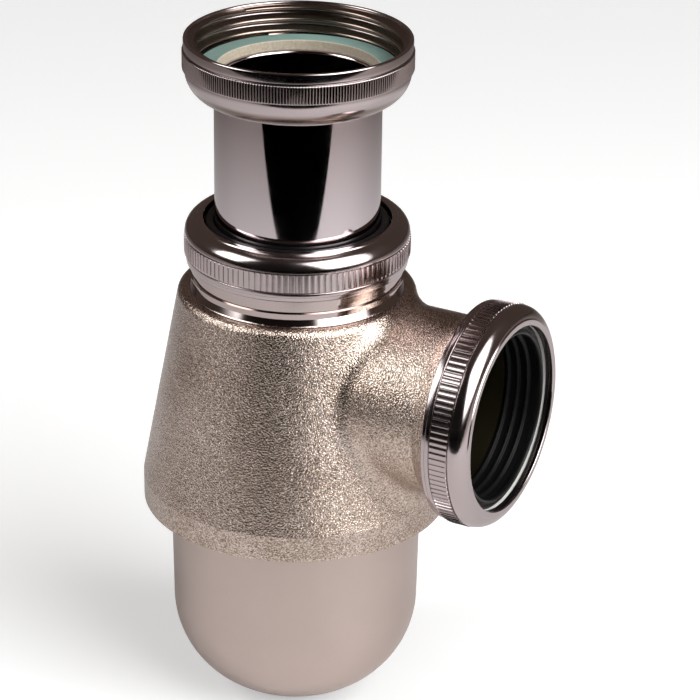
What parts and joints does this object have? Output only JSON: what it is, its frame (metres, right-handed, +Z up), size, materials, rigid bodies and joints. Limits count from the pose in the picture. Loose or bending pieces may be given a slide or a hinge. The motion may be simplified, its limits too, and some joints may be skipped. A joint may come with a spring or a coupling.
{
  "type": "bottle trap",
  "caption": "Basin bottle trap: union nut inlet, height-adjustable tube, cast body with side outlet and compression nut, unscrewing round bottle.",
  "frame": {"origin": "centre of the inlet washer's top face, on the inlet tube's axis", "axes": "+Z up along the inlet tube towards the basin, +X out along the outlet branch"},
  "size_m": [0.0777, 0.061, 0.138],
  "materials": {
    "chrome": "polished chrome plate",
    "cast_nickel": "rough cast brass, satin nickel plate",
    "satin_nickel": "smooth brass, satin nickel plate",
    "fibre": "green-faced vulcanised fibre",
    "black_rubber": "moulded black rubber",
    "friction_ring": "white plastic",
    "dip_plastic": "white polypropylene"
  },
  "bodies": {
    "inlet_tail": {"inlet_tube": "chrome", "inlet_washer": "fibre"},
    "inlet_nut": {"inlet_nut": "chrome"},
    "slip_seal": {"slip_seal": "black_rubber"},
    "trap_body": {"trap_body": "cast_nickel", "dip_tube": "dip_plastic", "outlet_seal": "black_rubber"},
    "slip_ring": {"slip_ring": "friction_ring"},
    "slip_nut": {"slip_nut": "chrome"},
    "outlet_ring": {"outlet_ring": "friction_ring"},
    "outlet_nut": {"outlet_nut": "chrome"},
    "cup_gasket": {"cup_gasket": "black_rubber"},
    "bottle_cup": {"bottle_cup": "satin_nickel"}
  },
  "joints": [
    {"name": "inlet_nut_turn", "type": "hinge", "parent": "inlet_tail", "child": "inlet_nut", "pos_m": [0, 0, 0], "axis": [0, 0, 1], "continuous": true},
    {"name": "height", "type": "slide", "parent": "inlet_tail", "child": "slip_seal", "axis": [0, 0, 1], "range_m": [-0.03, 0.016]},
    {"name": "swivel", "type": "hinge", "parent": "slip_seal", "child": "trap_body", "pos_m": [0, 0, -0.03], "axis": [0, 0, 1], "continuous": true},
    {"name": "slip_nut_travel", "type": "slide", "parent": "trap_body", "child": "slip_ring", "axis": [0, 0, 1], "range_m": [0, 0.00751]},
    {"name": "slip_nut_turn", "type": "hinge", "parent": "slip_ring", "child": "slip_nut", "pos_m": [0, 0, -0.0301], "axis": [0, 0, 1], "range_deg": [0, 1170]},
    {"name": "outlet_nut_travel", "type": "slide", "parent": "trap_body", "child": "outlet_ring", "axis": [1, 0, 0], "range_m": [0, 0.00751]},
    {"name": "outlet_nut_turn", "type": "hinge", "parent": "outlet_ring", "child": "outlet_nut", "pos_m": [0.0472, 0, -0.0624], "axis": [1, 0, 0], "range_deg": [0, 1170]},
    {"name": "bottle_travel", "type": "slide", "parent": "trap_body", "child": "cup_gasket", "axis": [0, 0, 1], "range_m": [-0.00924, 0]},
    {"name": "bottle_turn", "type": "hinge", "parent": "cup_gasket", "child": "bottle_cup", "pos_m": [0, 0, -0.0782], "axis": [0, 0, 1], "range_deg": [-1440, 0]}
  ],
  "couplings": [
    {"joint": "slip_nut_travel", "follows": "slip_nut_turn", "m_per_rad": 0.00036749},
    {"joint": "outlet_nut_travel", "follows": "outlet_nut_turn", "m_per_rad": 0.00036749},
    {"joint": "bottle_travel", "follows": "bottle_turn", "m_per_rad": 0.00036749}
  ]
}
